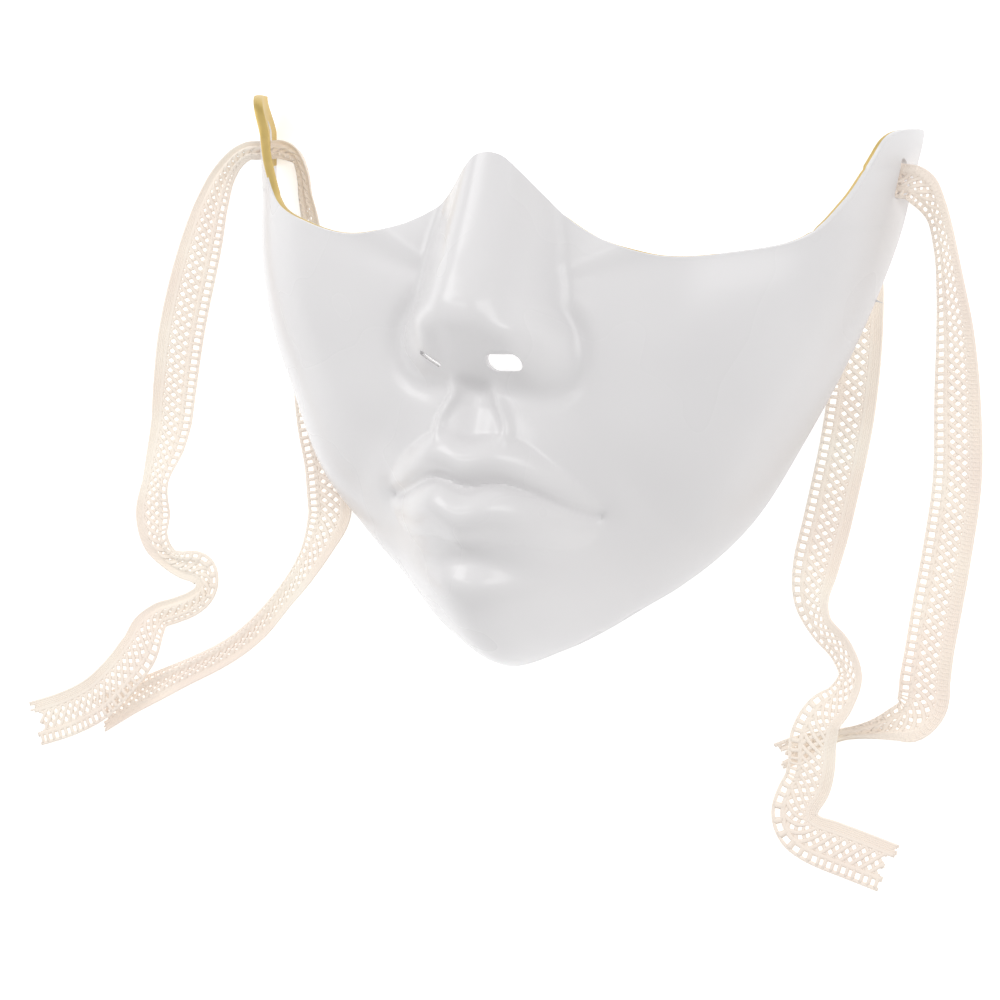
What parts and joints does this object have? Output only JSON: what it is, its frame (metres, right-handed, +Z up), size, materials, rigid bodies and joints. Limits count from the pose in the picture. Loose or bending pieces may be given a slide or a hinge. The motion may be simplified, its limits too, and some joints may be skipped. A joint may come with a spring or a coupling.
{
  "type": "lower face mask",
  "caption": "Moulded half mask for the lower face in glossy white plastic, with nose, lips, chin, nostril holes and a slotted tab at each temple, tied with cream lace ribbon.",
  "frame": {"origin": "on the table under the middle of the shell: in the face's middle plane, half way between the chin's rim and the tabs' tips", "axes": "+X across the face to the viewer's right, +Y up the face from the chin to the bridge of the nose, +Z up out of the face, away from the table that the rim lies on"},
  "size_m": [0.2379, 0.1715, 0.0618],
  "materials": {
    "white_plastic": "glossy white outside, satin gold on the cut edges and inside",
    "cream_lace": "matt cream openwork lace"
  },
  "bodies": {
    "root": {"mask_shell": "white_plastic", "lace_ribbon_left": "cream_lace", "lace_ribbon_right": "cream_lace"}
  },
  "joints": []
}
